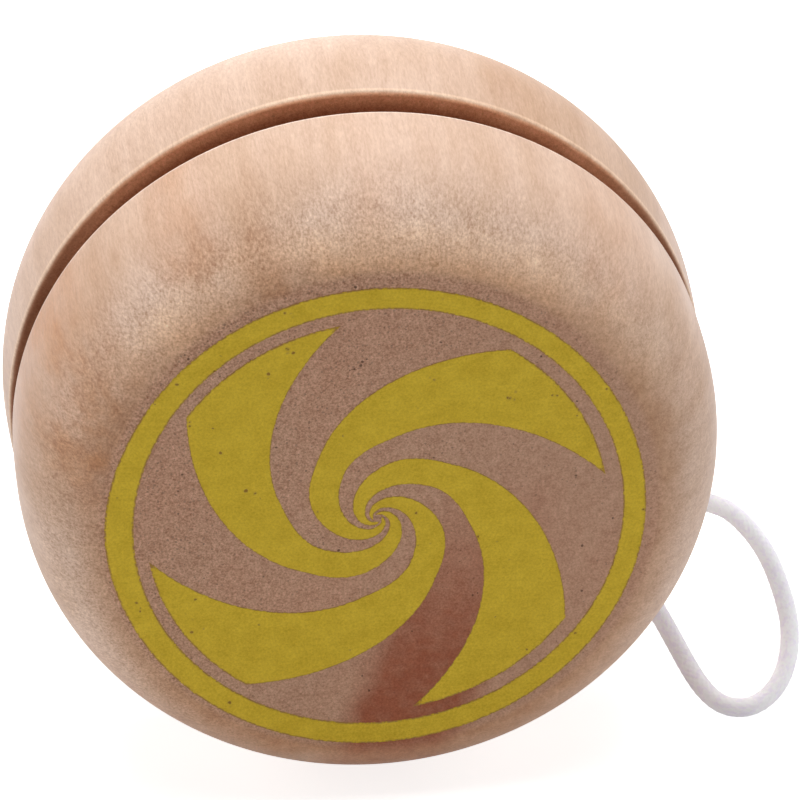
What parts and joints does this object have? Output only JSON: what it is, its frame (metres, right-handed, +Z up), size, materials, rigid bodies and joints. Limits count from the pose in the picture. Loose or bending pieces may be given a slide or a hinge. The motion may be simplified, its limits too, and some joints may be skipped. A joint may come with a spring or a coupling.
{
  "type": "yo-yo",
  "caption": "Turned wooden yo-yo: rounded halves glued on a dowel axle, with a white string wound in the groove and its finger loop hanging out.",
  "frame": {"origin": "middle of the axle, halfway between the two halves", "axes": "+Y along the axle towards the rear half, +Z up with the rims standing on the plane z = -0.0275, +X towards the side where the finger loop hangs out"},
  "size_m": [0.0626, 0.033, 0.055],
  "materials": {
    "turned_wood": "pale reddish hardwood, turned and sanded smooth, thin satin oil",
    "dowel_wood": "plain sanded hardwood dowel",
    "white_cord": "matt white round braid",
    "ochre_ink": "thin printed ink, satin, on the front face only"
  },
  "bodies": {
    "string": {"string_winding": "white_cord", "string_finger_loop": "white_cord", "string_knot": "white_cord"},
    "spool": {"front_half": "turned_wood", "rear_half": "turned_wood", "axle": "dowel_wood"}
  },
  "joints": [
    {"name": "spool_spin", "type": "hinge", "parent": "string", "child": "spool", "pos_m": [0, 0, 0], "axis": [0, 1, 0], "continuous": true}
  ]
}
